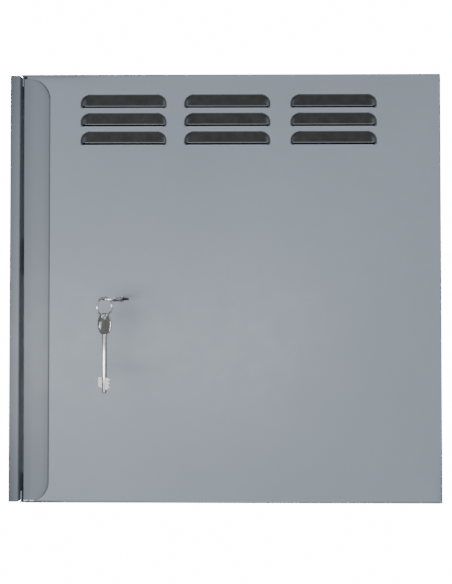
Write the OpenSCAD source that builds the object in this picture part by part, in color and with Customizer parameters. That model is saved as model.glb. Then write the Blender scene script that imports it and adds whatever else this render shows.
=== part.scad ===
// Shallow steel wall cabinet with a door that slides off sideways.
// X to the right, Y into the wall, Z up. The origin is the centre of the
// four wall holes on the rear face of the back panel.

/* [Cabinet] */
// Width over the left post and the door's right flange
cab_w = 600; // [590:2:680]
// Height of the door
cab_h = 596; // [590:2:680]
// Depth from the wall to the front face of the door
cab_d = 200; // [195:1:280]
// Thickness of the folded sheet
sheet_t = 1.5; // [1.4:0.1:1.6]
// Depth of the door's top, bottom and right flanges
flange_d = 50; // [44:1:56]

/* [Left edge] */
// Width of the fixed post's front face
post_w = 14.5; // [12:0.5:15]
// Clear gap between the post and the folded edge of the door
gap_w = 6; // [5.5:0.1:6.5]
// Width of the hem folded over the front of the door
hem_w = 36; // [34:1:40]
// Height of the bulge of the hem above the door
hem_rise = 2.4; // [1.8:0.2:3]

/* [Louvres] */
// Width of one louvre
louvre_w = 120.5; // [110:0.5:124]
// Height of one louvre
louvre_h = 18.5; // [16.5:0.5:19]
// Distance from one row to the next
louvre_pitch = 25.8; // [24.5:0.1:27]
// Distance from the top of the door to the first row
louvre_top = 29.2; // [28.8:0.2:34]
// How far the blade is pressed inwards
louvre_d = 6; // [5:0.5:7]

/* [Lock and keys] */
// Distance of the keyhole from the cabinet's left side
key_x = 157; // [150:1:190]
// Height of the keyhole above the middle of the door
key_z = -16; // [-60:1:20]
// Travel of the bolts
bolt_travel = 14; // [8:1:14]
// Outer diameter of the key ring
ring_d = 24.2; // [23.9:0.1:24.5]

/* [Mounting] */
// Distance between the wall holes, both ways
wall_pitch = 500; // [460:5:520]
// Diameter of the wall holes
wall_hole = 9; // [7:0.5:11]
// Inner diameter of the cable grommets
grommet_id = 32; // [28:1:33]

/* [Hidden] */

$fn = 48;
e = 0.01;
t = sheet_t;
hw = cab_w / 2;
hh = cab_h / 2;
bh = hh - t - 0.5;            // half height of the base
yf = -cab_d;                  // front plane of the door
yb = yf + t;                  // rear face of the door sheet
xp = -hw + post_w;            // right side of the post's face
xh = xp + gap_w;              // folded edge of the hem
xd = xh + 4.3;                // left edge of the door sheet at the relief notch
kx = -hw + key_x;             // axis of the key
kz = key_z;
lip = 14;                     // height of the guide lips
xr = hw - t - 1.5;            // outer face of the right wall
bracket_z = 170;              // top face of the rack brackets
rack_dx = 465.1 / 2;          // half of the rack's hole distance
unit_y = -16;                 // first rack hole from the wall face
rack_holes = [for (u = [0:2], o = [0, 31.75]) unit_y - u * 44.45 - o];

paint = [0.58, 0.61, 0.64];
paint_in = [0.52, 0.55, 0.58];
zinc = [0.74, 0.75, 0.76];
steel = [0.62, 0.63, 0.65];
nickel = [0.82, 0.82, 0.8];
black = [0.1, 0.1, 0.1];

// ---- helpers ------------------------------------------------------------
module ex_x(a, b) translate([a, 0, 0]) rotate([90, 0, 90]) linear_extrude(b - a) children();
module ex_y(a, b) translate([0, b, 0]) rotate([90, 0, 0]) linear_extrude(b - a) children();
module ex_z(a, b) translate([0, 0, a]) linear_extrude(b - a) children();
module box(a, b) translate(a) cube(b - a);
module rod_y(x, z, a, b, r) translate([x, a, z]) rotate([-90, 0, 0]) cylinder(r = r, h = b - a);

function dirv(a, b) = (b - a) / norm(b - a);
function perp(u) = [-u[1], u[0]];
function turn(u, w) = [u[0] * cos(w) - u[1] * sin(w), u[0] * sin(w) + u[1] * cos(w)];
// Points and normals of one rounded corner of a folded sheet's mid line
function corner(a, b, c, r, k) =
    let (u = dirv(a, b), v = dirv(b, c),
         s = sign(u[0] * v[1] - u[1] * v[0]),
         w = acos(max(-1, min(1, u * v))),
         cen = b - u * (r * tan(w / 2)) + perp(u) * s * r)
    [for (i = [0:k]) let (q = s * w * i / k)
        [cen + turn(-perp(u) * s * r, q), perp(turn(u, q))]];
function mid_line(p, r, k) = let (n = len(p)) concat(
    [[p[0], perp(dirv(p[0], p[1]))]],
    [for (i = [1:n - 2]) each corner(p[i - 1], p[i], p[i + 1], r[i - 1], k)],
    [[p[n - 1], perp(dirv(p[n - 2], p[n - 1]))]]);
// Section of a sheet folded along the mid line p, with radii r at its corners
function folded(p, r, k = 4, s = t) = let (q = mid_line(p, r, k)) concat(
    [for (m = q) m[0] + m[1] * s / 2],
    [for (i = [len(q) - 1:-1:0]) q[i][0] - q[i][1] * s / 2]);
br = t + 0.5;                 // mid line radius of an ordinary bend

// Rectangle with rounded corners: r = [low x low y, high x low y, high x high y, low x high y]
module rrect(a, b, r) {
    difference() {
        translate(a) square(b - a);
        for (i = [0:3]) {
            c = [(i == 0 || i == 3) ? a[0] : b[0], i < 2 ? a[1] : b[1]];
            sx = (i == 0 || i == 3) ? 1 : -1;
            sy = i < 2 ? 1 : -1;
            if (r[i] > 0) difference() {
                translate([c[0] - (sx < 0 ? r[i] : e), c[1] - (sy < 0 ? r[i] : e)]) square(r[i] + e);
                translate(c + [sx * r[i], sy * r[i]]) circle(r = r[i]);
            }
        }
    }
}

// ---- base ---------------------------------------------------------------
module back_panel() color(paint_in) difference() {
    box([-hw + t, -t, -bh + t], [xr - t, 0, bh - t]);
    for (x = [-1, 1], z = [-1, 1])
        rod_y(x * wall_pitch / 2, z * wall_pitch / 2, -t - 1, 1, wall_hole / 2);
}

// Top or bottom wall: a flat sheet with a guide lip turned inwards at the front
module lip_wall() {
    y1 = yb + 1.0;
    ex_x(xd + 1.5, xr) polygon(folded([[0, bh - t / 2], [y1 + t / 2, bh - t / 2], [y1 + t / 2, bh - lip]], [br]));
    box([xp + 2.1, y1, bh - lip], [xp + 3.6, y1 + 20, bh]);
    box([xp - 0.2, y1 + 12, bh - t], [xd + 1.6, 0, bh]);
    box([-hw + t, yf + t, bh - t], [xp + 0.2, 0, bh]);
}

module top_wall() color(paint) lip_wall();

grommet_x = 190;
module bottom_wall() color(paint) difference() {
    mirror([0, 0, 1]) lip_wall();
    for (x = [-1, 1]) translate([x * grommet_x, -45, -bh - 1]) cylinder(r = grommet_id / 2 + 5, h = t + 2);
}

module left_wall_with_post() color(paint) {
    difference() {
        ex_z(-bh, bh) polygon(folded([[-hw + t / 2, 0], [-hw + t / 2, yf + t / 2], [xp - t / 2, yf + t / 2], [xp - t / 2, yf + 14]], [1.4, 1.4]));
        for (s = [-1, 1]) box([-hw + t, yf + t, s > 0 ? bh - t : -bh - 1], [xp + 1, 1, s > 0 ? bh + 1 : -bh + t]);
        for (s = [-1, 1]) difference() {
            box([-hw - 1, yf - 1, s > 0 ? bh - 2.5 : -bh - 1], [-hw + 2.5, yf + 3, s > 0 ? bh + 1 : -bh + 2.5]);
            rod_y(-hw + 2.5, s * (bh - 2.5), yf - 2, yf + 4, 2.5);
        }
    }
}

module right_wall() color(paint)
    ex_z(-bh + t, bh - t) polygon(folded([[xr - t / 2, 0], [xr - t / 2, yf + flange_d - 10 + t / 2], [xr - 16, yf + flange_d - 10 + t / 2]], [br]));

// Bracket for rack equipment that hangs with its front upwards
foot_x = 272;
module rack_bracket(s) color(zinc) {
    z1 = bracket_z;
    x1 = s * (rack_dx + 20);
    difference() {
        union() {
            box([min(s * (rack_dx - 11), x1), -t - 146, z1 - 2], [max(s * (rack_dx - 11), x1), -t, z1]);
            box([min(x1, x1 - s * 2), -t - 146, z1 - 24], [max(x1, x1 - s * 2), -t, z1]);
            box([min(x1 - s * 2, s * (foot_x + 11)), -t - 2, z1 - 56], [max(x1 - s * 2, s * (foot_x + 11)), -t, z1]);
        }
        for (y = rack_holes) translate([s * rack_dx, y, z1 - 10]) cylinder(r = 3.3, h = 20);
        for (z = [12, 44]) rod_y(s * foot_x, z1 - z, -t - 5, 1, 3.3);
    }
}
module rack_bracket_left() rack_bracket(-1);
module rack_bracket_right() rack_bracket(1);
module at_feet() for (s = [-1, 1], z = [12, 44]) translate([s * foot_x, -t, bracket_z - z]) rotate([90, 0, 0]) children();
module bracket_studs() color(zinc) at_feet() cylinder(r = 3, h = 14);
module ring_washer(r1, r2, h) difference() {
    cylinder(r = r2, h = h);
    translate([0, 0, -1]) cylinder(r = r1, h = h + 2);
}
module hex_nut(w, r, h) difference() {
    intersection() {
        cylinder(r = w / 2 / cos(30), h = h, $fn = 6);
        cylinder(r1 = w / 2 / cos(30) - 0.2, r2 = w / 2 / cos(30) + 2, h = h);
        translate([0, 0, -2]) cylinder(r1 = w / 2 / cos(30) + 2 + h, r2 = w / 2 / cos(30) - 0.2, h = h + 2);
    }
    translate([0, 0, -1]) cylinder(r = r, h = h + 2);
}
module bracket_washers() color(zinc) at_feet() translate([0, 0, 2]) ring_washer(3.2, 6, 1.2);
module bracket_nuts() color(zinc) at_feet() translate([0, 0, 3.2]) hex_nut(10, 3.05, 5);

// Strike: a shelf with three holes over the lock, stiffened and welded to the left wall
strike_z = kz + 49;           // underside of the strike
bolt_y = yf + 25.5;
bolt_dx = [-26, 0, 26];
module strike_bracket() color(paint_in) {
    difference() {
        ex_z(strike_z, strike_z + 3) polygon([[-hw + t, yf + 18], [-hw + 32, yf + 18], [-hw + 38, yf + 14], [kx + 46, yf + 14], [kx + 46, yf + 41], [-hw + t, yf + 41]]);
        for (d = bolt_dx) translate([kx + d, bolt_y, strike_z - 1]) cylinder(r = 5.6, h = 5);
    }
    box([-hw + t, yf + 38, strike_z + 3], [kx + 46, yf + 41, strike_z + 26]);
    box([-hw + t, yf + 18, strike_z + 3], [-hw + t + 3, yf + 38, strike_z + 26]);
}

module cable_grommets() color(black) for (x = [-1, 1]) translate([x * grommet_x, -45, -bh + t / 2]) rotate_extrude() polygon([
    [grommet_id / 2, -5], [grommet_id / 2 + 6.5, -5], [grommet_id / 2 + 8, -3.8], [grommet_id / 2 + 8, -t / 2], [grommet_id / 2 + 4.9, -t / 2],
    [grommet_id / 2 + 4.9, t / 2], [grommet_id / 2 + 8, t / 2], [grommet_id / 2 + 8, 3.8], [grommet_id / 2 + 6.5, 5], [grommet_id / 2, 5]]);

// Earth stud with its weld collar; the groove marks where the free thread begins
earth_p = [-120, 145];
module earth_stud() color(zinc) translate([earth_p[0], -t, earth_p[1]]) rotate([90, 0, 0]) {
    cylinder(r = 4.5, h = 1.2);
    cylinder(r = 3, h = 10);
    cylinder(r = 2.6, h = 11.5);
    translate([0, 0, 11]) cylinder(r = 3, h = 12);
}
module earth_washer() color(zinc) translate([earth_p[0], -t, earth_p[1]]) rotate([90, 0, 0]) translate([0, 0, 1.2]) ring_washer(3.2, 6.2, 1.4);
module earth_nut() color(zinc) translate([earth_p[0], -t, earth_p[1]]) rotate([90, 0, 0]) translate([0, 0, 2.6]) hex_nut(10, 3.05, 5);

// ---- door ---------------------------------------------------------------
ro = 2.4;                     // outer bend radius of the door's flanges
module tray_outer(g, r) intersection() {
    ex_x(xd, hw - g) rrect([yf + g, -hh + g], [yf + flange_d, hh - g], [r, 0, 0, r]);
    ex_z(-hh + g, hh - g) rrect([xd - 1, yf + g], [hw - g, yf + flange_d], [0, r, 0, 0]);
}

lcx = [-141.2, 3.3, 151.2];
module louvre(cx, zt, g) {
    // g = 0 makes the pocket, g > 0 the metal around it
    zl = zt - louvre_h + 5;
    zb = zt - louvre_h;
    d = louvre_d;
    intersection() {
        ex_x(cx - 70, cx + 70) polygon(g == 0
            ? [[yf - 1, zt], [yf, zt], [yf + d, zl], [yf + d + 9, zl], [yf + d + 9, zb], [yf - 1, zb]]
            : [[yf + 0.1, zt + g * 1.6], [yf + d + g * 1.1, zl + g * 0.5], [yf + d + g * 0.8, zl], [yf + 0.1, zl]]);
        ex_y(yf - 2, yf + d + 12) rrect([cx - louvre_w / 2 - g, zb], [cx + louvre_w / 2 + g, zt + g], [1.5, 1.5, 14 + g, 14 + g]);
        ex_z(zb - 1, zt + 3) polygon([[cx - louvre_w / 2 - g - 0.5, yf - 2], [cx - louvre_w / 2 - g, yf], [cx - louvre_w / 2 + 4 - g, yf + d + g], [cx - louvre_w / 2 + 4 - g, yf + d + 10],
            [cx + louvre_w / 2 - 4 + g, yf + d + 10], [cx + louvre_w / 2 - 4 + g, yf + d + g], [cx + louvre_w / 2 + g, yf], [cx + louvre_w / 2 + g + 0.5, yf - 2]]);
    }
}
module louvres(g) for (x = lcx, i = [0:2]) louvre(x, hh - louvre_top - i * louvre_pitch, g);

hem_gap = 1.0;
hem_top = hh - 8.3;
hem_low = -hh + 3;
module hem_section() {
    rf = (t + hem_gap) / 2;
    y1 = yf - t / 2 - hem_gap;
    polygon(folded([[xh + hem_w, yf - t / 2 - 0.05], [xh + hem_w - 8, yf - t / 2 - 1.1], [xh + hem_w * 0.42, yf - t / 2 - hem_rise + 0.4],
        [xh + 6, y1 - 0.1], [xh + t / 2, y1], [xh + t / 2, yf + t / 2], [xd + 6, yf + t / 2]], [20, 40, 20, rf - 0.03, rf - 0.03], 5));
}
module keyhole(a, b, r, w, l) {
    rod_y(kx, kz, a, b, r);
    box([kx - l / 2, a, kz - w / 2], [kx + l / 2, b, kz + w / 2]);
}
module door_panel() color(paint) {
    difference() {
        union() {
            difference() {
                tray_outer(0, ro);
                tray_outer(t, ro - t);
                translate([0, t + 1, 0]) box([xd - 1, yf, -hh + t], [xd + 3, yf + flange_d + 1, hh - t]);
            }
            louvres(1.2);
            box([xp + 1.5, yf + 2.2, hh - t], [xd + 1, yf + flange_d, hh]);
            box([xh, yf + 2.2, -hh], [xd + 1, yf + flange_d, -hh + t]);
        }
        louvres(0);
        keyhole(yf - 1, yb + 1, 4, 2.9, 19.8);
    }
    intersection() {
        ex_z(hem_low, hem_top) hem_section();
        ex_y(yf - 8, yf + 6) rrect([xh - 2, hem_low], [xh + hem_w + 2, hem_top], [0, 26, 26, 0]);
    }
}

// Hook strip: welded behind the door, it reaches round behind the guide lip
module hook_strip(leg) {
    zl = bh - lip;                                 // free edge of the lip
    y1 = yb + 1.0 + t;                             // rear face of the lip
    ex_x(xd + 7, hw - 12) polygon(folded([[yb + t / 2, zl - 2 - leg], [yb + t / 2, zl - 1.2 - t / 2], [y1 + 1 + t / 2, zl - 1.2 - t / 2], [y1 + 1 + t / 2, bh - t - 1.4]], [1.4, 1.4]));
}
module upper_hook_strip() color(zinc) hook_strip(6.5);
module lower_hook_strip() color(zinc) mirror([0, 0, 1]) hook_strip(16);

// Tongues behind the post, one above and one below the strike
module edge_tongues() color(zinc) for (z = [[-bh + lip + 20, strike_z - 14], [strike_z + 36, bh - lip - 14]])
    ex_z(z[0], z[1]) polygon(folded([[xd + 22, yb + t / 2], [xd + 10, yb + t / 2], [xd + 10, yf + 15.3], [xp - 5.5, yf + 15.3]], [1.6, 1.6]));

module door_stiffener() color(zinc) ex_z(-bh + lip + 20, hh - louvre_top - 3 * louvre_pitch - 8) translate([78, 0])
    polygon(folded([[-30, yb + t / 2], [-16, yb + t / 2], [-16, yf + 14], [16, yf + 14], [16, yb + t / 2], [30, yb + t / 2]], [1.6, 1.6, 1.6, 1.6]));

// Lever lock: all depths are from the front plane of the door
lock_x = 45;                  // half width of the case
lock_z = [kz - 40, kz + 46];
stud_p = [for (x = [-51, 51], z = [lock_z[0] + 10, lock_z[1] - 10]) [kx + x, z]];
module lock_cover_plate() color(steel) difference() {
    box([kx - 57, yb, lock_z[0]], [kx + 57, yb + 1.5, lock_z[1]]);
    keyhole(yb - 1, yb + 3, 4, 2.9, 19.8);
    for (p = stud_p) rod_y(p[0], p[1], yb - 1, yb + 3, 2.7);
    rod_y(kx - 33, kz - 28, yb - 1, yb + 3, 1.6);
}
module lock_case() color(steel) difference() {
    box([kx - lock_x, yb + 1.5, lock_z[0]], [kx + lock_x, yf + 36, lock_z[1]]);
    box([kx - lock_x + 1.5, yb, lock_z[0] + 1.5], [kx + lock_x - 1.5, yf + 34.5, lock_z[1] - 1.5]);
    for (d = bolt_dx) translate([kx + d, bolt_y, lock_z[1] - 3]) cylinder(r = 5.3, h = 6);
}
module lock_studs() color(zinc) for (p = stud_p) rod_y(p[0], p[1], yb, yb + 9, 2.5);
module lock_nuts() color(zinc) for (p = stud_p) translate([p[0], yb + 1.5, p[1]]) rotate([-90, 0, 0]) hex_nut(8, 2.55, 4);
module lever(i) {
    y0 = yf + 14.7 + i * 1.3;
    ex_y(y0, y0 + 1) difference() {
        union() {
            translate([kx - 41, kz - 37]) square([16, 62]);
            translate([kx - 41, kz]) square([70, 25]);
        }
        translate([kx, kz]) circle(r = 11.2);
        translate([kx - 33, kz - 28]) circle(r = 2.6);
        translate([kx - 14, kz + 14.5]) square([30, 5 + i * 0.4]);
    }
}
module lock_levers() color([0.72, 0.6, 0.32]) for (i = [0:3]) lever(i);
module lever_springs() color(steel) for (i = [0:3]) let (y0 = yf + 14.7 + i * 1.3)
    ex_y(y0, y0 + 1) polygon([for (p = folded([[kx + 10, kz + 25.4], [kx + 24, kz + 27.6], [kx + 40, kz + 29.5], [kx + 43.2, kz + 29.5]], [30, 30], 5, 0.4)) p]);
module lever_post() color(steel) rod_y(kx - 33, kz - 28, yb + 1.5, yf + 34.5, 2.5);

carriage_y = yf + 29.4;
module bolt_carriage() color(steel) difference() {
    union() {
        box([kx - 31, carriage_y, kz + 10], [kx + 31, carriage_y + 2.6, kz + 26]);
        box([kx - 14, carriage_y, kz - 24], [kx + 14, carriage_y + 2.6, kz + 10 + e]);
        for (d = bolt_dx) translate([kx + d, bolt_y, kz + 13]) cylinder(r = 5, h = 34.5);
    }
    rod_y(kx, kz, carriage_y - 1, carriage_y + 4, 4);
    box([kx - 4, carriage_y - 1, kz - bolt_travel - 0.5], [kx + 4, carriage_y + 4, kz]);
    rod_y(kx, kz - bolt_travel - 0.5, carriage_y - 1, carriage_y + 4, 4);
}

module key_curtain() color(steel) difference() {
    union() {
        rod_y(kx, kz, yb + 1.8, yf + 28.9, 5.2);
        rod_y(kx, kz, yf + 12.4, yf + 13.6, 11);
    }
    rod_y(kx, kz, yf, yf + 36, 3.3);
    box([kx - 9.9, yf, kz - 1.5], [kx + 9.9, yf + 36, kz + 1.5]);
}

// ---- keys ---------------------------------------------------------------
key_l = 98;                   // length of a key
bow_r = 11.2;                 // half width of the bow
bow_l = 27.4;                 // length of the bow
bow_t = 2.2;                  // thickness of the bow
bit_v = 79;                   // from the end of the bow to the bits
hole_v = 4.9;                 // from the end of the bow to its hole
// The key lies along +Y from the end of its bow, flat in the XY plane
module key() {
    difference() {
        translate([0, 0, -bow_t / 2]) linear_extrude(bow_t) difference() {
            union() {
                translate([0, bow_r]) circle(r = bow_r);
                translate([0, bow_l - bow_r]) circle(r = bow_r);
                translate([-bow_r, bow_r]) square([2 * bow_r, bow_l - 2 * bow_r]);
            }
            translate([0, hole_v]) circle(r = 3.4);
        }
    }
    rotate([-90, 0, 0]) {
        translate([0, 0, bow_l - 1.6]) cylinder(r = 3, h = key_l - bow_l + 0.6);
        translate([0, 0, key_l - 1]) cylinder(r1 = 3, r2 = 2.1, h = 1);
    }
    translate([0, 0, -1.15]) linear_extrude(2.3) {
        polygon([[0, bit_v], [-9.6, bit_v], [-9.6, bit_v + 10.6], [-8.2, bit_v + 12.2], [-5, bit_v + 12.2], [-2.8, bit_v + 14], [0, bit_v + 14]]);
        polygon([[0, bit_v], [9.2, bit_v], [9.2, bit_v + 3], [6.6, bit_v + 3], [6.6, bit_v + 5], [8.8, bit_v + 5], [8.8, bit_v + 7.4],
            [7, bit_v + 7.4], [7, bit_v + 10], [9.2, bit_v + 10], [9.2, bit_v + 12], [6, bit_v + 12], [6, bit_v + 14.2], [0, bit_v + 14.2]]);
    }
}
bow_y = yf + 14 - bit_v;      // outer end of the key in the lock
module key_in_lock() color(nickel) translate([kx, bow_y, kz]) key();

// The ring rests on the bow beside its hole and hangs from there
ring_yaw = 58;                // direction of the ring's plane from the door
wire_w = 1.6;                 // wire across the ring's plane, and along its axis
wire_h = 2;
ring_r = (ring_d - wire_w) / 2;  // radius of the middle of the wire
ring_drop = ring_r - wire_w / 2 - bow_t / 2 - 0.7;
// halfway between where the wire enters and leaves the thickness of the bow
ring_out = (sqrt(pow(ring_r - wire_w / 2, 2) - pow(ring_drop + bow_t / 2, 2)) + sqrt(pow(ring_d / 2, 2) - pow(ring_drop - bow_t / 2, 2))) / 2;
ring_c = [kx - cos(ring_yaw) * ring_out, bow_y + hole_v - sin(ring_yaw) * ring_out, kz - ring_drop];
module split_ring() color(nickel) translate(ring_c) rotate([0, 0, ring_yaw]) rotate([90, 0, 0])
    rotate_extrude($fn = 64) translate([ring_r - wire_w / 2, -wire_h / 2]) rrect([0, 0], [wire_w, wire_h], [0.6, 0.6, 0.6, 0.6]);
module hanging_key() color(nickel) translate(ring_c - [0, 0, ring_r + 1.1 - hole_v]) rotate([0, 0, -29]) rotate([-90, 0, 0]) key();

back_panel();
top_wall();
bottom_wall();
left_wall_with_post();
right_wall();
rack_bracket_left();
rack_bracket_right();
bracket_studs();
bracket_washers();
bracket_nuts();
strike_bracket();
cable_grommets();
earth_stud();
earth_washer();
earth_nut();
door_panel();
upper_hook_strip();
lower_hook_strip();
edge_tongues();
door_stiffener();
lock_cover_plate();
lock_case();
lock_studs();
lock_nuts();
lock_levers();
lever_springs();
lever_post();
bolt_carriage();
key_curtain();
key_in_lock();
split_ring();
hanging_key();
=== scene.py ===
import math
import random

import bmesh
import bpy
from mathutils import Matrix, Vector


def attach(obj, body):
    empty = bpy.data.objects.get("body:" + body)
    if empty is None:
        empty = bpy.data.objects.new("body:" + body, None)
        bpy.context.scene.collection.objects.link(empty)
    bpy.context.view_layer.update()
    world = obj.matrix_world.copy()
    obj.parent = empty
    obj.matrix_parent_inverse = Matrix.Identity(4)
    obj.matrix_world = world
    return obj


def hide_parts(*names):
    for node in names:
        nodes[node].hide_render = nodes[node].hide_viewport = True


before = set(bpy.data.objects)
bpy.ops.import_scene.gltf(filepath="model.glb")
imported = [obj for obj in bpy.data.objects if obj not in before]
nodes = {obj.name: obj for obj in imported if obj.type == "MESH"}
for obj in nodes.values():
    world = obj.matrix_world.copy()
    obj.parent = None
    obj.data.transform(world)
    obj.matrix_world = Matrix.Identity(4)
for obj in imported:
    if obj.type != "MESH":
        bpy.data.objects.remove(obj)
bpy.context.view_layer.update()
MM = 0.001

# ---------------------------------------------------------------- sizes (mm)
HW, HH, T = 300.0, 298.0, 1.5
YF = -200.0
YB = YF + T
XP = -HW + 14.5
XH = XP + 6.0
XD = XH + 4.3
FL = 50.0
RO = 2.4
KX, KZ = -143.0, -16.0
LCX = (-141.2, 3.3, 151.2)
LW, LH, LPITCH, LTOP, LD = 120.5, 18.5, 25.8, 29.2, 6.0
SLOT = 5.0


# ---------------------------------------------------------------- materials
class Mat:
    """A small helper round one node tree."""

    def __init__(self, name, rough=0.5, metal=0.0, spec=0.5, coat=0.0, coat_rough=0.2):
        self.m = bpy.data.materials.new(name)
        self.m.use_nodes = True
        self.t = self.m.node_tree
        self.n = self.t.nodes
        self.b = self.n["Principled BSDF"]
        self.b.inputs["Roughness"].default_value = rough
        self.b.inputs["Metallic"].default_value = metal
        self.b.inputs["Specular IOR Level"].default_value = spec
        self.b.inputs["Coat Weight"].default_value = coat
        self.b.inputs["Coat Roughness"].default_value = coat_rough
        self.co = self.n.new("ShaderNodeTexCoord").outputs["Object"]

    def link(self, a, b):
        self.t.links.new(a, b)

    def math(self, op, a, b=None, c=None, clamp=False):
        n = self.n.new("ShaderNodeMath")
        n.operation = op
        n.use_clamp = clamp
        for i, v in enumerate((a, b, c)):
            if v is None:
                continue
            if isinstance(v, (int, float)):
                n.inputs[i].default_value = v
            else:
                self.link(v, n.inputs[i])
        return n.outputs[0]

    def noise(self, scale, detail=3.0, rough=0.5, vec=None, stretch=None):
        n = self.n.new("ShaderNodeTexNoise")
        n.inputs["Scale"].default_value = scale
        n.inputs["Detail"].default_value = detail
        n.inputs["Roughness"].default_value = rough
        v = vec or self.co
        if stretch:
            mp = self.n.new("ShaderNodeMapping")
            mp.inputs["Scale"].default_value = stretch
            self.link(v, mp.inputs["Vector"])
            v = mp.outputs[0]
        self.link(v, n.inputs["Vector"])
        return n.outputs["Fac"]

    def voronoi(self, scale, feature="F1", rand=1.0):
        n = self.n.new("ShaderNodeTexVoronoi")
        n.feature = feature
        n.inputs["Scale"].default_value = scale
        n.inputs["Randomness"].default_value = rand
        self.link(self.co, n.inputs["Vector"])
        return n.outputs["Distance"]

    def ramp(self, fac, stops, interp="LINEAR"):
        n = self.n.new("ShaderNodeValToRGB")
        n.color_ramp.interpolation = interp
        el = n.color_ramp.elements
        while len(el) < len(stops):
            el.new(0.5)
        for k, (p, c) in zip(el, stops):
            k.position = p
            k.color = (*c, 1.0) if len(c) == 3 else c
        self.link(fac, n.inputs[0])
        return n.outputs[0]

    def maprange(self, v, a, b, c, d):
        n = self.n.new("ShaderNodeMapRange")
        self.link(v, n.inputs["Value"])
        for i, x in zip(("From Min", "From Max", "To Min", "To Max"), (a, b, c, d)):
            n.inputs[i].default_value = x
        return n.outputs[0]

    def mix(self, fac, a, b, mode="MIX"):
        n = self.n.new("ShaderNodeMix")
        n.data_type = "RGBA"
        n.blend_type = mode
        for s, v in ((n.inputs[0], fac), (n.inputs[6], a), (n.inputs[7], b)):
            if isinstance(v, (int, float)):
                s.default_value = v
            elif isinstance(v, (tuple, list)):
                s.default_value = (*v, 1.0) if len(v) == 3 else v
            else:
                self.link(v, s)
        return n.outputs[2]

    def bump(self, height, strength, dist):
        n = self.n.new("ShaderNodeBump")
        n.inputs["Strength"].default_value = strength
        n.inputs["Distance"].default_value = dist
        self.link(height, n.inputs["Height"])
        prev = self.b.inputs["Normal"]
        if prev.is_linked:
            self.link(prev.links[0].from_socket, n.inputs["Normal"])
        self.link(n.outputs[0], prev)
        return n.outputs[0]

    def attr(self, name):
        n = self.n.new("ShaderNodeAttribute")
        n.attribute_name = name
        return n.outputs["Fac"]


def srgb(h):
    v = [int(h[i : i + 2], 16) / 255 for i in (0, 2, 4)]
    return tuple(x / 12.92 if x <= 0.04045 else ((x + 0.055) / 1.055) ** 2.4 for x in v)


def paint(name, base, var=0.05, painted_shade=False, rough=0.42, scale=1.0, glints=False, post=False):
    """Powder coat: a fine orange peel, slow tone clouds and faint settled dust; where asked, painted shade and painted
    highlight from the mesh's attributes, painted glints along marked edges and painted shade on the post's face.
    """
    m = Mat(name, rough=rough, spec=0.5)
    cloud = m.noise(3.2, 3.0, 0.55)
    fine = m.noise(60.0 * scale, 2.0, 0.5)
    speck = m.noise(900.0, 1.0, 0.5)
    a = tuple(c * (1 - var) for c in base)
    b = tuple(min(1, c * (1 + var)) for c in base)
    col = m.ramp(cloud, [(0.32, a), (0.68, b)])
    col = m.mix(m.maprange(fine, 0.35, 0.65, 0.0, 0.16), col, tuple(c * 0.9 for c in base))
    col = m.mix(m.maprange(speck, 0.56, 0.72, 0.0, 0.28), col, tuple(min(1, c * 1.16) for c in base))
    col = m.mix(m.maprange(speck, 0.44, 0.28, 0.0, 0.28), col, tuple(c * 0.82 for c in base))
    # painted shade and painted highlight, read from the mesh's attributes
    if painted_shade:
        col = m.mix(m.attr("painted_shade"), col, tuple(c * 0.12 for c in base))
        edge = m.attr("edge")
        col = m.mix(m.math("MULTIPLY", edge, m.maprange(fine, 0.3, 0.7, 0.2, 0.6)), col, tuple(min(1, c * 1.35) for c in base))
    if glints:
        # painted glints: near-white spots, picked by noise, where the mesh marks them
        glint_spots = m.maprange(m.noise(150.0, 2.0, 0.55), 0.47, 0.53, 0.0, 1.0)
        col = m.mix(m.math("MULTIPLY", m.attr("glint"), glint_spots), col, (0.95, 0.955, 0.96))
    if post:
        # painted shade on the post's face: darker towards the cabinet's side, along its outer rim, towards its two
        # ends and its foot, with a slow random tone
        sep = m.n.new("ShaderNodeSeparateXYZ")
        m.link(m.co, sep.inputs[0])
        px, py, pz = sep.outputs
        face = m.math("MULTIPLY", m.maprange(py, -0.1972, -0.1992, 0.0, 1.0), m.maprange(px, -0.2840, -0.2850, 0.0, 1.0))
        side = m.maprange(px, -0.3001, -0.2868, 0.5, 0.1)
        rim = m.maprange(px, -0.2999, -0.2984, 0.3, 0.0)
        ends = m.maprange(m.math("ABSOLUTE", pz), 0.2, 0.296, 0.0, 0.16)
        low = m.maprange(pz, 0.08, -0.28, 0.0, 0.12)
        shade_level = m.math("ADD", m.math("ADD", m.math("ADD", side, low), rim), m.math("ADD", ends, m.maprange(cloud, 0.3, 0.7, -0.04, 0.08)), clamp=True)
        col = m.mix(m.math("MULTIPLY", face, shade_level), col, tuple(c * 0.12 for c in base))
    m.link(col, m.b.inputs["Base Color"])
    m.link(m.maprange(m.noise(26.0, 3.0, 0.6), 0.3, 0.7, rough - 0.05, rough + 0.07), m.b.inputs["Roughness"])
    m.bump(m.noise(420.0, 2.0, 0.5), 0.14, 0.0004)
    m.bump(m.noise(34.0, 2.0, 0.4), 0.05, 0.0012)
    return m.m


PANEL = tuple(c * 0.912 for c in srgb("8b949f"))
mat_door = paint("door_paint", PANEL, painted_shade=True)
# the hem's paint is the door's made darker: painted shade
mat_flap = paint("flap_paint", tuple(c * 0.72 for c in PANEL), painted_shade=True, glints=True)
# the base's paint is the door's made darker: painted shade, on all its walls
mat_base = paint("base_paint", tuple(c * 0.78 for c in PANEL), post=True)
mat_inside = paint("inside_paint", tuple(c * 0.86 for c in PANEL), rough=0.5)


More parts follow.
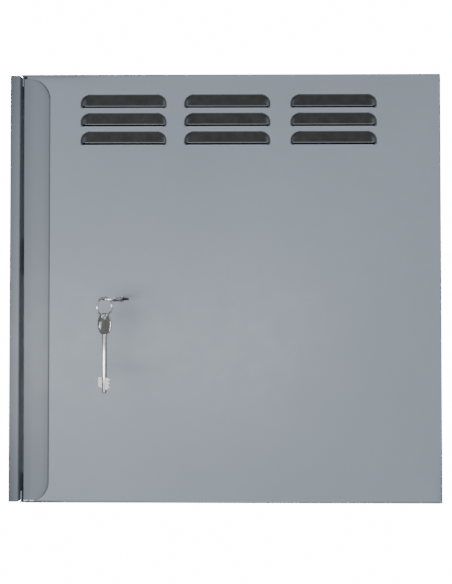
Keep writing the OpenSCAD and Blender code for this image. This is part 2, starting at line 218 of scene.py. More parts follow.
def louvre_paint():
    """The pressed-in blades: painted shade, near black where they face down and greyer where they come back up to the
    face; matt, with a faint random tone.
    """
    m = Mat("louvre_paint", rough=0.78, spec=0.1)
    n = m.noise(90.0, 3.0, 0.6)
    dark = m.ramp(n, [(0.3, (0.029, 0.0295, 0.03)), (0.72, (0.042, 0.0425, 0.043))])
    grey = m.ramp(m.noise(220.0, 2.0, 0.5), [(0.3, tuple(c * 0.5 for c in PANEL)), (0.7, tuple(c * 0.62 for c in PANEL))])
    m.link(m.mix(m.attr("painted_shade"), grey, dark), m.b.inputs["Base Color"])
    m.link(m.maprange(m.noise(40.0, 3.0, 0.6), 0.3, 0.7, 0.7, 0.86), m.b.inputs["Roughness"])
    m.bump(m.noise(420.0, 2.0, 0.5), 0.12, 0.0004)
    return m.m


mat_louvre = louvre_paint()


def plated(name, base, rough=0.34, grain=1.0, brush=False, metal=1.0):
    m = Mat(name, rough=rough, metal=metal, spec=0.5)
    spang = m.noise(90.0 * grain, 4.0, 0.6)
    big = m.noise(18.0 * grain, 3.0, 0.5)
    col = m.ramp(spang, [(0.3, tuple(c * 0.78 for c in base)), (0.7, tuple(min(1, c * 1.12) for c in base))])
    col = m.mix(m.maprange(big, 0.4, 0.7, 0.0, 0.35), col, tuple(c * f for c, f in zip(base, (0.9, 0.9, 0.86))))
    m.link(col, m.b.inputs["Base Color"])
    m.link(m.maprange(spang, 0.3, 0.7, rough - 0.08, rough + 0.12), m.b.inputs["Roughness"])
    if brush:
        m.bump(m.noise(500.0, 2.0, 0.5, stretch=(0.06, 1.0, 1.0)), 0.12, 0.0002)
    else:
        m.bump(m.noise(340.0, 3.0, 0.6), 0.08, 0.0002)
    return m.m


mat_zinc = plated("zinc_plate", (0.62, 0.63, 0.62), 0.36)
mat_steel = plated("rolled_steel", (0.46, 0.46, 0.46), 0.34, brush=True)
mat_brass = plated("lever_brass", (0.62, 0.46, 0.2), 0.34, brush=True)


def nickel():
    m = Mat("nickel_plate", rough=0.12, metal=1.0)
    n = m.noise(160.0, 3.0, 0.6)
    col = m.ramp(n, [(0.3, (0.62, 0.62, 0.61)), (0.75, (0.8, 0.795, 0.78))])
    m.link(col, m.b.inputs["Base Color"])
    m.link(m.maprange(m.noise(240.0, 4.0, 0.6), 0.3, 0.7, 0.1, 0.22), m.b.inputs["Roughness"])
    m.bump(m.noise(700.0, 3.0, 0.6), 0.1, 0.0001)
    m.bump(m.noise(130.0, 2.0, 0.5), 0.12, 0.0002)
    return m.m


mat_nickel = nickel()


def nickel_shaded_under():
    """The key that stays in the lock: painted shade on its underside, strongest towards the door."""
    m = Mat("nickel_shaded_under", rough=0.16, metal=1.0)
    n = m.noise(160.0, 3.0, 0.6)
    col = m.ramp(n, [(0.3, (0.62, 0.62, 0.61)), (0.75, (0.8, 0.795, 0.78))])
    sep = m.n.new("ShaderNodeSeparateXYZ")
    m.link(m.co, sep.inputs[0])
    # painted shade: near black below the key's axis, most towards the door
    under = m.maprange(sep.outputs[2], (KZ + 0.1) * MM, (KZ - 0.9) * MM, 0.0, 0.93)
    deep = m.maprange(sep.outputs[1], (YF - 46.0) * MM, (YF - 40.0) * MM, 0.55, 1.0)
    col = m.mix(m.math("MULTIPLY", under, deep), col, (0.03, 0.03, 0.032))
    m.link(col, m.b.inputs["Base Color"])
    m.link(m.maprange(n, 0.3, 0.7, 0.12, 0.24), m.b.inputs["Roughness"])
    m.bump(m.noise(700.0, 3.0, 0.6), 0.1, 0.0001)
    return m.m


mat_nickel_shaded = nickel_shaded_under()


def milled(name, base, metal, rough):
    """The key's cut bits: satin from the cutter, not polished like the rest."""
    m = Mat(name, rough=rough, metal=metal)
    n = m.noise(420.0, 3.0, 0.6)
    m.link(m.ramp(n, [(0.32, tuple(c * 0.84 for c in base)), (0.7, base)]), m.b.inputs["Base Color"])
    m.link(m.maprange(n, 0.3, 0.7, rough - 0.06, rough + 0.1), m.b.inputs["Roughness"])
    m.bump(m.noise(900.0, 2.0, 0.5, stretch=(1.0, 1.0, 0.1)), 0.18, 0.0001)
    return m.m


# the hanging key's bits: near white and mostly not metal, a painted sheen standing in for their bright reflection
mat_bits = milled("milled_nickel", (0.98, 0.975, 0.96), 0.25, 0.4)
# the lock key's bits: dark grey, painted shade
mat_bits_shaded = milled("nickel_bits_shaded", (0.4, 0.41, 0.42), 0.3, 0.6)


def rubber():
    m = Mat("rubber", rough=0.62, spec=0.35)
    n = m.noise(200.0, 3.0, 0.6)
    m.link(m.ramp(n, [(0.3, (0.018, 0.018, 0.019)), (0.7, (0.036, 0.036, 0.037))]), m.b.inputs["Base Color"])
    m.link(m.maprange(m.noise(60.0), 0.3, 0.7, 0.55, 0.72), m.b.inputs["Roughness"])
    m.bump(m.noise(900.0, 2.0, 0.5), 0.15, 0.0001)
    return m.m


mat_rubber = rubber()


# ---------------------------------------------------------------- mesh tools
def make(name, verts, faces, mat, smooth=True, attrs=None):
    me = bpy.data.meshes.new(name)
    me.from_pydata([tuple(c * MM for c in v) for v in verts], [], faces)
    me.validate()
    for k, vals in (attrs or {}).items():
        a = me.attributes.new(k, "FLOAT", "POINT")
        a.data.foreach_set("value", vals)
    o = bpy.data.objects.new(name, me)
    bpy.context.scene.collection.objects.link(o)
    me.materials.append(mat)
    if smooth:
        me.polygons.foreach_set("use_smooth", [True] * len(me.polygons))
    me.update()
    return o


def apply_all(o):
    """Bakes the modifiers into the mesh, so that the mesh holds plain geometry."""
    dg = bpy.context.evaluated_depsgraph_get()
    me = bpy.data.meshes.new_from_object(o.evaluated_get(dg), preserve_all_data_layers=True, depsgraph=dg)
    old = o.data
    o.modifiers.clear()
    o.data = me
    bpy.data.meshes.remove(old)
    return o


def recalc(o):
    bm = bmesh.new()
    bm.from_mesh(o.data)
    bmesh.ops.recalc_face_normals(bm, faces=bm.faces)
    bm.to_mesh(o.data)
    bm.free()
    return o


def by_angle(o, deg=35):
    """Smooth shading with sharp edges where the surface really turns."""
    me = o.data
    bm = bmesh.new()
    bm.from_mesh(me)
    lim = math.radians(deg)
    for e in bm.edges:
        e.smooth = not (len(e.link_faces) == 2 and e.calc_face_angle(0) > lim)
    bm.to_mesh(me)
    bm.free()
    return o


def steps(a, b, fine, coarse, n_fine=0):
    """Values from a to b: n_fine steps of `fine` at each end, then about `coarse`."""
    out = [a + fine * i for i in range(n_fine + 1)]
    end = [b - fine * i for i in range(n_fine + 1)][::-1]
    lo, hi = out[-1], end[0]
    k = max(1, int(round((hi - lo) / coarse)))
    out += [lo + (hi - lo) * i / k for i in range(1, k)]
    return out + end


def smoothstep(x):
    x = max(0.0, min(1.0, x))
    return x * x * (3 - 2 * x)


# ---------------------------------------------------------------- the door's skin
def door_skin():
    r = RO
    x1, z1 = HW - r, HH - r
    # lines across the face, close together where a louvre starts, turns or ends
    xs = steps(XD, LCX[0] - LW / 2 - 5, 2.5, 9.0, 2)
    for i, c in enumerate(LCX):
        a, b = c - LW / 2, c + LW / 2
        xs += steps(a - 4, b + 4, 0.9, 6.0, 24)
        nxt = LCX[i + 1] - LW / 2 - 5 if i < 2 else x1
        xs += steps(b + 5, nxt, 2.0, 9.0, 1)
    xs = sorted(set(round(x, 3) for x in xs))
    zs = steps(-z1, HH - LTOP - 2 * LPITCH - LH - 5, 2.5, 9.0, 2)
    rows = [HH - LTOP - i * LPITCH for i in range(3)]
    slots = []
    for zt in rows[::-1]:
        zb, zl = zt - LH, zt - LH + SLOT
        zs += [zb - 3, zb - 1.6, zb - 0.7, zb, zl]
        zs += [zl + 0.5, zl + 1.0, zl + 1.5]
        z = zl + 2.0
        while z < zt + 4:
            zs.append(z)
            z += 1.0
        slots.append((zb, zl))
    zs += steps(rows[0] + 5, z1, 2.5, 8.0, 1)
    zs = sorted(set(round(z, 3) for z in zs))

    def louvre(x, z):
        """Depth of the sheet behind the front plane, the painted shade there, and the painted highlight at its edge.
        """
        for cx in LCX:
            u = abs(x - cx)
            if u > LW / 2 + 4:
                continue
            for zt in rows:
                if z > zt + 3.5 or z < zt - LH - 2.0:
                    continue
                zb, zl = zt - LH, zt - LH + SLOT
                dz = zt - z
                rc = 13.0
                inset = 0.0
                if dz < rc:
                    k = rc - max(dz, 0)
                    inset = rc - math.sqrt(max(rc * rc - k * k, 0.0))
                w = LW / 2 - inset
                wide = 5.5
                end = smoothstep((w + 0.6 - u) / wide)
                root = smoothstep((dz + 1.8) / 4.2)
                if dz > 0:
                    prof = LD * (0.2 * root + 0.8 * min(1.0, dz / (zt - zl)))
                else:
                    prof = LD * 0.2 * root
                # below the slot: a painted highlight along the opening's lower edge
                if z < zb - 0.01:
                    rim = 1.0 if z > zb - 0.8 and u < LW / 2 - 3 else 0.0
                    return 0.0, 0.0, rim
                if z < zl - 0.01:
                    # at the slot's lower edge: painted shade near its ends and a painted highlight along it
                    if abs(z - zb) < 0.02:
                        return 0.0, 0.62 * smoothstep((u - LW / 2 + 6.5) / 1.5) * smoothstep((LW / 2 - 1.2 - u) / 1.8), 1.0 if u < LW / 2 - 3 else 0.0
                    prof = LD
                d = prof * end
                s = w - u
                # painted shade over the blade, from its outline and its root downwards
                dark = smoothstep((s + 0.4) / 1.5) * smoothstep((dz + 1.0) / 1.8)
                # less painted shade in a paler streak where the end wall turns up, in its lower half: painted light on
                # the end wall
                low = smoothstep((dz - 4.0) / 5.5)
                dark *= 1 - 0.66 * low * math.exp(-(((s - 3.2) / 1.9) ** 2))
                # less painted shade on the lip: a painted highlight there
                lip = smoothstep(1 - (z - zl) / 1.7) if z > zl - 0.01 else 0.0
                dark *= 1 - 0.8 * lip
                # painted shade near the ends, at the lip
                if z < zl + 0.3 and u > LW / 2 - 3.9:
                    dark = smoothstep((s + 0.6) / 1.6)
                return d, dark, 0.0
        return 0.0, 0.0, 0.0

    def dish(x, z):
        """The faint draw of the sheet around each louvre."""
        s = 0.0
        for cx in LCX:
            for zt in rows:
                u = max(abs(x - cx) - LW / 2, 0.0)
                v = max(z - zt, (zt - LH) - z, 0.0)
                s += 0.28 * math.exp(-(u * u + v * v) / 18.0)
        return min(s, 0.3)

    def shade_level(x, z):
        """Painted shade along the face's edges: most at the top left, then the foot and the lower right corner."""
        a = 0.25 * smoothstep((-20 - x) / 120) + 0.75 * smoothstep((-160 - x) / 60)
        k = 0.52 * a * math.exp(-max(z1 - z, 0.0) / 3.4)
        b = 0.36 * smoothstep((-50 - x) / 90) + 0.5 * smoothstep((-212 - x) / 45)
        b += 0.25 * smoothstep((x - 165) / 35) + 0.15 * smoothstep((x - 276) / 15)
        k = max(k, b * (1 - smoothstep((z + z1 - 0.5) / 1.7)))
        return max(k, 0.36 * math.exp(-max(x1 - x, 0.0) / 3.0) * smoothstep((-z - 225) / 60))

    zs = sorted(set(zs + [round(z1 - d, 3) for d in (1.2, 2.6, 4.5, 7.0, 10.0)] + [round(-z1 + d, 3) for d in (0.6, 1.3, 2.2)]))
    xs = sorted(set(xs + [round(x1 - d, 3) for d in (1.2, 3.0, 5.5)]))
    verts, rec, edge, faces = [], [], [], []
    idx = {}
    for j, z in enumerate(zs):
        for i, x in enumerate(xs):
            d, k, e = louvre(x, z)
            k = max(k, shade_level(x, z))
            idx[i, j] = len(verts)
            y = YF + d + (dish(x, z) if 4 < HH - abs(z) else 0.0)
            verts.append((x, y, z))
            rec.append(k)
            edge.append(e)

    def in_slot(xa, xb, za, zb_):
        zm, xm = (za + zb_) / 2, (xa + xb) / 2
        for b, l in slots:
            if b - 0.01 < za and zb_ < l + 0.01 and za < l - 0.01:
                for cx in LCX:
                    if abs(xm - cx) < LW / 2 - 3.4:
                        return True
        return False

    for j in range(len(zs) - 1):
        for i in range(len(xs) - 1):
            if in_slot(xs[i], xs[i + 1], zs[j], zs[j + 1]):
                continue
            # the keyhole is cut out afterwards with a boolean
            faces.append((idx[i, j], idx[i + 1, j], idx[i + 1, j + 1], idx[i, j + 1]))
    # rounded bends and flanges along the bottom, right and top
    nx, nz = len(xs), len(zs)
    rays = [(idx[i, 0], (0.0, -1.0)) for i in range(nx)]
    rays += [(idx[nx - 1, 0], (math.sin(a), -math.cos(a))) for a in (math.radians(15 * k) for k in range(1, 6))]
    rays += [(idx[nx - 1, j], (1.0, 0.0)) for j in range(nz)]
    rays += [(idx[nx - 1, nz - 1], (math.cos(a), math.sin(a))) for a in (math.radians(15 * k) for k in range(1, 6))]
    rays += [(idx[i, nz - 1], (0.0, 1.0)) for i in range(nx - 1, -1, -1)]
    K = 6
    back = [r + 3, 16.0, 30.0, FL - 3, FL]
    cols = []
    for base, (dx, dz) in rays:
        bx, by, bz = verts[base]
        col = [base]
        # painted shade on the bends, heavier at the corners and towards the left, fading onto the flanges; a faint
        # painted highlight along the bends and one along the flanges' back edge
        corner = smoothstep((math.hypot(abs(bx) / HW, abs(bz) / HH) - 1.3) / 0.1)
        left = smoothstep((-225.0 - bx) / 50.0) * abs(dz)
        shade = 0.7 + 0.15 * corner + 0.2 * left
        for k in range(1, K + 1):
            a = math.pi / 2 * k / K
            col.append(len(verts))
            verts.append((bx + dx * r * math.sin(a), YF + r * (1 - math.cos(a)), bz + dz * r * math.sin(a)))
            rec.append(max(rec[base], min(0.92, shade) * smoothstep((k - 0.4) / 2.2)))
            edge.append(0.12 * math.sin(a * 2))
        for y in back:
            col.append(len(verts))
            verts.append((bx + dx * r, YF + y, bz + dz * r))
            rec.append(min(0.9, shade) * 0.22 if y == back[0] else 0.0)
            edge.append(0.6 if y == FL else 0.0)
        cols.append(col)
    for a, b in zip(cols, cols[1:]):
        for k in range(len(a) - 1):
            f = (a[k], a[k + 1], b[k + 1], b[k])
            f = tuple(dict.fromkeys(f))
            if len(f) > 2:
                faces.append(f)
    # the top and bottom flanges run on past the gap
    for col, reach, first in ((cols[-1], (XH - 0.3, XP + 0.9), 2), (cols[0], (XH + 2.3, XP + 1.5), K)):
        prev = col[first:]
        for x in reach:
            nxt = []
            for v in col[first:]:
                nxt.append(len(verts))
                verts.append((x, verts[v][1], verts[v][2]))
                # painted shade on the outside of the top flange's extension
                rec.append(0.45 if verts[v][1] < YF + r + 0.1 and first < K else 0.0)
                edge.append(0.0)
            for k in range(len(nxt) - 1):
                faces.append((prev[k], prev[k + 1], nxt[k + 1], nxt[k]))
            prev = nxt
    o = make("door_skin", verts, faces, mat_door, attrs={"painted_shade": rec, "edge": edge})
    o.data.materials.append(mat_louvre)
    # faces on the louvre rows with strong painted shade take the louvre paint, itself painted shade
    for pl in o.data.polygons:
        cx, _, cz = pl.center
        if 0.19 < cz < 0.276 and cx < 0.22 and sum(rec[v] for v in pl.vertices) / len(pl.vertices) > 0.3:
            pl.material_index = 1
    n0 = len(verts)
    recalc(o)
    # normals must look outwards (towards -Y on the face)
    if sum(p.normal.y * p.area for p in o.data.polygons) > 0:
        o.data.flip_normals()
    s = o.modifiers.new("sheet", "SOLIDIFY")
    s.thickness = T * MM
    s.offset = -1.0
    s.use_even_offset = False
    apply_all(o)
    # the back of the sheet is plain paint, without the shade of the louvres
    me = o.data
    for name in ("painted_shade", "edge"):
        a = me.attributes[name]
        for i in range(n0, len(me.vertices)):
            a.data[i].value = 0.0
    for pl in me.polygons:
        if min(pl.vertices) >= n0:
            pl.material_index = 0
    # the keyhole
    k = keyhole_cutter()
    bo = o.modifiers.new("keyhole", "BOOLEAN")
    bo.operation = "DIFFERENCE"
    bo.solver = "EXACT"
    bo.object = k
    apply_all(o)
    bpy.data.objects.remove(k)
    by_angle(o, 38)
    return o


def keyhole_cutter():
    pts = []
    r, w, l = 4.0, 1.45, 9.9
    a0 = math.asin(w / r)
    n = 14
    for k in range(n + 1):
        a = a0 + (math.pi - 2 * a0) * k / n
        pts.append((r * math.cos(a), r * math.sin(a)))
    pts += [(-l + 0.4, w), (-l, w - 0.4), (-l, -w + 0.4), (-l + 0.4, -w)]
    for k in range(n + 1):
        a = math.pi + a0 + (math.pi - 2 * a0) * k / n
        pts.append((r * math.cos(a), r * math.sin(a)))
    pts += [(l - 0.4, -w), (l, -w + 0.4), (l, w - 0.4), (l - 0.4, w)]
    v, f = [], []
    for y in (YF - 3, YB + 3):
        v += [(KX + p[0], y, KZ + p[1]) for p in pts]
    n = len(pts)
    f.append(tuple(range(n)))
    f.append(tuple(range(2 * n - 1, n - 1, -1)))
    f += [(i, i + n, (i + 1) % n + n, (i + 1) % n) for i in range(n)]
    o = make("keyhole_cutter", v, f, mat_door, smooth=False)
    recalc(o)
    return o


skin = door_skin()
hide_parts("door_panel")
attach(skin, "door")


# ---------------------------------------------------------------- the hem over the door's left edge
def hem():
    """The folded strip: section swept up the edge, its free corners rounded."""
    top, low = HH - 8.3, -HH + 3.0
    width, rc = 36.0, 27.0
    ht = 2.35  # outside height of the bulge above the door
    g = 0.06

    def outer(s):
        """Height of the strip's outside above the door at share s of its width, from the fold."""
        return 1.62 + (ht - 1.62) * math.sin(math.pi * min(1.0, max(0.0, s * 0.98 + 0.03)) ** 0.8) ** 0.9

    zs = []
    n = 16
    for k in range(n + 1):
        zs.append(low + rc * (1 - math.cos(math.pi / 2 * k / n)))
    for k in range(1, 60):
        zs.append(low + rc + (top - low - 2 * rc) * k / 60)
    for k in range(n, -1, -1):
        zs.append(top - rc * (1 - math.cos(math.pi / 2 * k / n)))
    zs = sorted(set(round(z, 4) for z in zs))
    rings = []
    verts, rec, glint = [], [], []
    for z in zs:
        d = min(z - low, top - z)
        cut = 0.0
        if d < rc:
            cut = rc - math.sqrt(max(rc * rc - (rc - d) ** 2, 0.0))
        xe = XH + width - cut
        ring = []
        xf = XH + 1.6 * (top - z) / (top - low)  # the fold leans a little towards the foot
        m = 22
        # outside, from the free edge to the fold
        for k in range(m + 1):
            x = xe + (xf + 2.0 - xe) * k / m
            h = outer((x - xf) / width)
            e = min(1.0, (xe - x) / 1.1)
            h *= 0.45 + 0.55 * math.sqrt(max(0.0, 1 - (1 - e) ** 2))
            ring.append((x, YF - h))
        # round the fold to the back of the door sheet
        h0 = outer(2.0 / width)
        yc = (YF - h0 + YB) / 2
        rr = (h0 + T) / 2
        for k in range(1, 12):
            a = math.pi * k / 12
            ring.append((xf + 2.0 - 2.0 * math.sin(a), yc - rr * math.cos(a)))
        ring.append((xf + 2.0, YB))
        ring.append((XD + 5.0, YB))
        ring.append((XD + 5.0, YF + 0.02))
        # the inside of the fold, back out to the free edge
        ring.append((xf + 2.4, YF + 0.02))
        ring.append((xf + 1.9, YF - 0.3))
        ring.append((xf + 2.4, YF - 0.62))
        for k in range(m - 1, -1, -1):
            x = xe + (xf + 2.6 - xe) * k / m
            h = outer((x - xf) / width) - T
            ring.append((x, YF - max(h, g)))
        rings.append(len(ring))
        verts += [(x, y, z) for x, y in ring]
        for i, (x, y) in enumerate(ring):
            free = xe - x if i <= m or i > len(ring) - m - 1 else 99.0
            # painted shadow along the free edge, where the strip lies on the door, stronger round the top corner
            arc = smoothstep((z - top + rc + 2) / 6.0)
            k = (0.34 + 0.36 * arc) * (1 - smoothstep((free - 0.3) / (1.0 + 0.5 * arc)))
            if i <= m + 11:
                # painted shade along both sides of the strip, darker towards its lower half and darkest at its foot
                k += 0.15 * (1 - smoothstep((x - xf - 5) / 10)) + 0.13 * (1 - smoothstep((free - 3) / 7)) * (free < 90)
                k += 0.12 * smoothstep((-z - 20) / 240)
                k += 0.72 * (1 - smoothstep((z - low - 0.9) / 0.8))
            rec.append(min(0.85, k))
            # painted glints along the strip's foot, near the fold
            glint.append(1.0 if low + 1.3 < z < low + 2.5 and XH + 1.5 < x < XH + 17 and i <= m + 4 else 0.0)
    n = rings[0]
    faces = []
    for j in range(len(zs) - 1):
        for i in range(n):
            faces.append((j * n + i, j * n + (i + 1) % n, (j + 1) * n + (i + 1) % n, (j + 1) * n + i))
    faces.append(tuple(range(n)))
    b = (len(zs) - 1) * n
    faces.append(tuple(b + i for i in range(n - 1, -1, -1)))
    cnt = len(verts)
    o = make("door_hem", verts, faces, mat_flap, attrs={"painted_shade": rec, "edge": [0.0] * cnt, "glint": glint})
    recalc(o)
    by_angle(o, 40)
    return o


h = hem()
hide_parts("door_panel")
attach(h, "door")


# ---------------------------------------------------------------- keys
def bevelled(o, width, seg=2, angle=35):
    b = o.modifiers.new("bevel", "BEVEL")
    b.width = width * MM
    b.segments = seg
    b.limit_method = "ANGLE"
    b.angle_limit = math.radians(angle)
    b.harden_normals = False
    apply_all(o)
    by_angle(o, 50)
    return o


KEY_L, BOW_R, BOW_L, BOW_T, BIT_V, HOLE_V = 98.0, 11.2, 27.4, 2.2, 79.0, 4.9


def plate(name, outline, holes, z0, z1, mat):
    """A flat plate with holes, from 2D outlines, closed by bridging fills."""
    bm = bmesh.new()

    def loop(pts, z):
        vs = [bm.verts.new((x * MM, y * MM, z * MM)) for x, y in pts]
        es = [bm.edges.new((vs[i], vs[(i + 1) % len(vs)])) for i in range(len(vs))]
        return vs, es

    lows, highs = [], []
    for pts in [outline] + holes:
        lows.append(loop(pts, z0))
        highs.append(loop(pts, z1))
    for (a, _), (b, _) in zip(lows, highs):
        n = len(a)
        for i in range(n):
            bm.faces.new((a[i], a[(i + 1) % n], b[(i + 1) % n], b[i]))
    for group in (lows, highs):
        bmesh.ops.triangle_fill(bm, use_beauty=True, use_dissolve=True, edges=[e for _, es in group for e in es])
    bmesh.ops.recalc_face_normals(bm, faces=bm.faces)
    me = bpy.data.meshes.new(name)
    bm.to_mesh(me)
    bm.free()
    me.materials.append(mat)
    o = bpy.data.objects.new(name, me)
    bpy.context.scene.collection.objects.link(o)
    return o


def lathe(name, prof, mat, n=32, axis="Y"):
    """Closed solid of revolution from (radius, position) points that start and end on the axis."""
    v, f = [], []
    ring = []
    for r, p in prof:
        if r < 1e-6:
            ring.append([len(v)])
            v.append((0, p, 0))
        else:
            ring.append(list(range(len(v), len(v) + n)))
            v += [(r * math.cos(2 * math.pi * k / n), p, r * math.sin(2 * math.pi * k / n)) for k in range(n)]
    for a, b in zip(ring, ring[1:]):
        for k in range(n):
            q = [a[k % len(a)], a[(k + 1) % len(a)], b[(k + 1) % len(b)], b[k % len(b)]]
            q = tuple(dict.fromkeys(q))
            if len(q) > 2:
                f.append(q)
    o = make(name, v, f, mat)
    recalc(o)
    by_angle(o, 40)
    return o


def join(name, parts):
    dst = parts[0]
    bm = bmesh.new()
    for p in parts:
        bm2 = bmesh.new()
        bm2.from_mesh(p.data)
        bmesh.ops.transform(bm2, matrix=p.matrix_world, verts=bm2.verts)
        tmp = bpy.data.meshes.new("tmp")
        bm2.to_mesh(tmp)
        bm.from_mesh(tmp)
        bpy.data.meshes.remove(tmp)
        bm2.free()
    bm.to_mesh(dst.data)
    bm.free()
    for p in parts[1:]:
        bpy.data.objects.remove(p)
    dst.name = name
    dst.matrix_world = Matrix.Identity(4)
    return dst


def thumb_recess(o):
    """A shallow coined oval in both faces of the bow, below its hole."""
    for side in (-1, 1):
        bm = bmesh.new()
        bmesh.ops.create_uvsphere(bm, u_segments=40, v_segments=20, radius=1.0)
        bmesh.ops.transform(bm, matrix=Matrix.Translation(Vector((0, 16.6, side * (BOW_T / 2 + 1.45))) * MM) @ Matrix.Diagonal((0.0112, 0.0125, 0.0021, 1.0)), verts=bm.verts)
        me = bpy.data.meshes.new("tool")
        bm.to_mesh(me)
        bm.free()
        c = bpy.data.objects.new("tool", me)
        bpy.context.scene.collection.objects.link(c)
        b = o.modifiers.new("coin", "BOOLEAN")
        b.operation = "DIFFERENCE"
        b.solver = "EXACT"
        b.object = c
        apply_all(o)
        bpy.data.objects.remove(c)
    by_angle(o, 50)
    return o


def key(bits_mat, body_mat):
    # bow: oval plate, a little longer than wide
    n = 56
    out = []
    for k in range(n):
        a = 2 * math.pi * k / n
        x, y = BOW_R * math.sin(a), -BOW_R * math.cos(a)
        y = y + BOW_R if y <= 0 else y + BOW_L - BOW_R
        # pull the two half circles into one smooth oval
        t = (y - BOW_L / 2) / (BOW_L / 2)
        out.append((BOW_R * math.copysign(max(0.0, 1 - abs(t) ** 2.2) ** 0.5, x) if abs(x) > 1e-9 else 0.0, y))
    hole = [(3.4 * math.cos(2 * math.pi * k / 28), HOLE_V + 3.4 * math.sin(2 * math.pi * k / 28)) for k in range(28)]
    bow = plate("bow", out, [hole], -BOW_T / 2, BOW_T / 2, body_mat)
    bevelled(bow, 0.5, 3)
    thumb_recess(bow)
    shank = lathe("shank", [(0, BOW_L - 1.6), (2.3, BOW_L - 1.6), (2.8, BOW_L - 1.3), (3.0, BOW_L - 0.7), (3.0, KEY_L - 1.9), (2.8, KEY_L - 1.0), (2.2, KEY_L - 0.25), (1.7, KEY_L), (0, KEY_L)], body_mat, 36)
    bv = BIT_V
    left = [(-1.2, bv), (-9.6, bv), (-9.6, bv + 10.6), (-9.2, bv + 11.7), (-8.2, bv + 12.2), (-5, bv + 12.2), (-2.8, bv + 14), (-1.2, bv + 14)]
    right = [(1.2, bv), (9.2, bv), (9.2, bv + 3), (6.6, bv + 3), (6.6, bv + 5), (8.8, bv + 5), (8.8, bv + 7.4), (7, bv + 7.4), (7, bv + 10), (9.2, bv + 10), (9.2, bv + 12), (6, bv + 12), (6, bv + 14.2), (1.2, bv + 14.2)]
    bits = [bevelled(plate("bit", p, [], -1.15, 1.15, bits_mat), 0.16, 2) for p in (left, right)]
    return [bow, shank] + bits


def place_key(prefix, node, body, mat, bits_mat, body_mat):
    parts = key(bits_mat, body_mat)
    names = ("bow", "shank", "left_bit", "right_bit")
    for p, s in zip(parts, names):
        p.name = f"{prefix}_{s}"
        p.data.transform(mat)
        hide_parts(node)
        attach(p, body)
    return parts


BOW_Y = YF + 14 - BIT_V
place_key("lock_key", "key_in_lock", "key", Matrix.Translation(Vector((KX, BOW_Y, KZ)) * MM), mat_bits_shaded, mat_nickel_shaded)
RING_D, WIRE = 24.2, 1.6
RY = math.radians(58)
RR = (RING_D - WIRE) / 2
DROP = RR - WIRE / 2 - BOW_T / 2 - 0.7
OUT = (math.sqrt((RR - WIRE / 2) ** 2 - (DROP + BOW_T / 2) ** 2) + math.sqrt((RING_D / 2) ** 2 - (DROP - BOW_T / 2) ** 2)) / 2
RC = Vector((KX - math.cos(RY) * OUT, BOW_Y + HOLE_V - math.sin(RY) * OUT, KZ - DROP))
place_key(
    "spare_key",
    "hanging_key",
    "spare_key",
    Matrix.Translation((RC - Vector((0, 0, RR + 1.1 - HOLE_V))) * MM) @ Matrix.Rotation(math.radians(-29), 4, "Z") @ Matrix.Rotation(math.radians(-90), 4, "X"),
    mat_bits,
    mat_nickel,
)


def ring():
    """Split ring: flat-sided wire, two turns side by side, with the ends stepped across."""
    turns, n = 2.0, 72
    steps_ = int(n * turns)
    sec = []
    for k in range(12):
        a = 2 * math.pi * k / 12
        sec.append((0.79 * math.copysign(abs(math.cos(a)) ** 0.85, math.cos(a)), 0.49 * math.sin(a)))
    v, f = [], []
    for i in range(steps_ + 1):
        a = 2 * math.pi * i / n
        # the pitch is crossed in one short step, half a turn from the ends
        t = i / n
        ax = -0.5 + 1.0 * smoothstep((t - 0.93) / 0.14)
        scale = 1.0 if 2 < i < steps_ - 2 else (0.55 + 0.2 * min(i, steps_ - i))
        for dr, dz in sec:
            rr = RR + dr * scale
            v.append((rr * math.cos(a + 0.9), rr * math.sin(a + 0.9), ax + dz * scale))
    m = len(sec)
    for i in range(steps_):
        for k in range(m):
            f.append((i * m + k, i * m + (k + 1) % m, (i + 1) * m + (k + 1) % m, (i + 1) * m + k))
    f.append(tuple(range(m)))
    f.append(tuple(steps_ * m + k for k in range(m - 1, -1, -1)))
    o = make("key_ring", v, f, mat_nickel)
    recalc(o)
    o.data.transform(Matrix.Translation(RC * MM) @ Matrix.Rotation(RY, 4, "Z") @ Matrix.Rotation(math.radians(90), 4, "X"))
    by_angle(o, 60)
    return o


rg = ring()
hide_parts("split_ring")
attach(rg, "ring")

# ---------------------------------------------------------------- CAD nodes that stay
keep = {
    mat_base: ["top_wall", "bottom_wall", "left_wall_with_post", "right_wall"],
    mat_inside: ["back_panel", "strike_bracket"],
    mat_zinc: ["rack_bracket_left", "rack_bracket_right", "bracket_studs", "bracket_washers", "bracket_nuts", "earth_stud", "earth_washer", "earth_nut",
        "upper_hook_strip", "lower_hook_strip", "edge_tongues", "door_stiffener", "lock_studs", "lock_nuts"],
    mat_steel: ["lock_cover_plate", "lock_case", "lever_springs", "lever_post", "bolt_carriage", "key_curtain"],
    mat_brass: ["lock_levers"],
    mat_rubber: ["cable_grommets"],
}
for m, names in keep.items():
    for n in names:
        o = nodes[n]
        o.data.materials.clear()
        o.data.materials.append(m)

# ---------------------------------------------------------------- stage
def area(name, loc, aim, size, power, colour=(1, 1, 1)):
    l = bpy.data.lights.new(name, "AREA")
    l.shape = "RECTANGLE"
    l.size, l.size_y = size
    l.energy = power
    l.color = colour
    o = bpy.data.objects.new(name, l)
    bpy.context.scene.collection.objects.link(o)
    o.location = loc
    o.rotation_mode = "QUATERNION"
    o.rotation_quaternion = (Vector(aim) - Vector(loc)).to_track_quat("-Z", "Y")
    o.visible_camera = False
    return o


def only_seen(o):
    """Seen by the camera, but throws no light or shadow on the object."""
    for a in ("visible_diffuse", "visible_glossy", "visible_transmission", "visible_volume_scatter", "visible_shadow"):
        setattr(o, a, False)


def white(name):
    m = bpy.data.materials.new(name)
    m.use_nodes = True
    t = m.node_tree
    t.nodes.clear()
    em = t.nodes.new("ShaderNodeEmission")
    em.inputs["Color"].default_value = (1, 1, 1, 1)
    em.inputs["Strength"].default_value = 16.0
    out = t.nodes.new("ShaderNodeOutputMaterial")
    t.links.new(em.outputs[0], out.inputs[0])
    return m


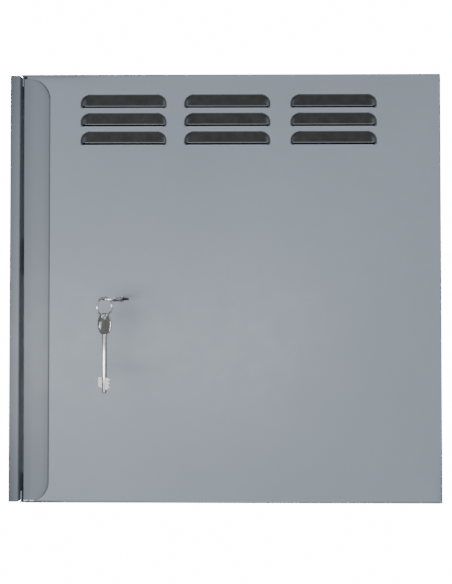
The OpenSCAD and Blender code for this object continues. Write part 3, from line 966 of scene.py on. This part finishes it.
backdrop = white("backdrop_white")
floor = make("floor", [(-9000, -9000, -1000), (9000, -9000, -1000), (9000, 9000, -1000), (-9000, 9000, -1000)], [(0, 1, 2, 3)], backdrop, smooth=False)
only_seen(floor)
bm = bmesh.new()
bmesh.ops.create_uvsphere(bm, u_segments=48, v_segments=24, radius=8.5)
me = bpy.data.meshes.new("dome")
bm.to_mesh(me)
bm.free()
me.materials.append(backdrop)
dome = bpy.data.objects.new("dome", me)
bpy.context.scene.collection.objects.link(dome)
only_seen(dome)

# soft studio surroundings: bright in front and behind, dim to the sides, above and below
w = bpy.data.worlds.new("world")
w.use_nodes = True
wt = w.node_tree
bg = wt.nodes["Background"]
tc = wt.nodes.new("ShaderNodeTexCoord")
sp = wt.nodes.new("ShaderNodeSeparateXYZ")
wt.links.new(tc.outputs["Generated"], sp.inputs[0])


def wmath(op, a, b=0.0):
    n = wt.nodes.new("ShaderNodeMath")
    n.operation = op
    for i, v in enumerate((a, b)):
        if isinstance(v, (int, float)):
            n.inputs[i].default_value = v
        else:
            wt.links.new(v, n.inputs[i])
    return n.outputs[0]


zone = wt.nodes.new("ShaderNodeMapRange")
zone.interpolation_type = "SMOOTHSTEP"
zone.inputs["From Min"].default_value = 0.5
zone.inputs["From Max"].default_value = 0.78
zone.inputs["To Min"].default_value = 0.17
zone.inputs["To Max"].default_value = 1.05
wt.links.new(wmath("ABSOLUTE", sp.outputs[1]), zone.inputs["Value"])
wt.links.new(zone.outputs[0], bg.inputs[1])
bg.inputs[0].default_value = (0.975, 0.985, 1.0, 1)
bpy.context.scene.world = w
area("strip_light", (-0.42, -1.2, -0.21), (-0.17, -0.2, -0.1), (1.7, 0.38), 10.5)
area("fill_light", (1.5, -1.5, 0.9), (0.1, -0.2, 0.0), (1.2, 1.2), 1.2)

cam = bpy.data.cameras.new("camera")
cam.sensor_width = 36
cam.lens = 404 / 584 * 36
cam.clip_start = 0.02
co = bpy.data.objects.new("camera", cam)
bpy.context.scene.collection.objects.link(co)
co.location = (0.00446, -0.7592, -0.01202)
co.rotation_euler = (math.radians(90.6), 0, math.radians(0.3))
bpy.context.scene.camera = co
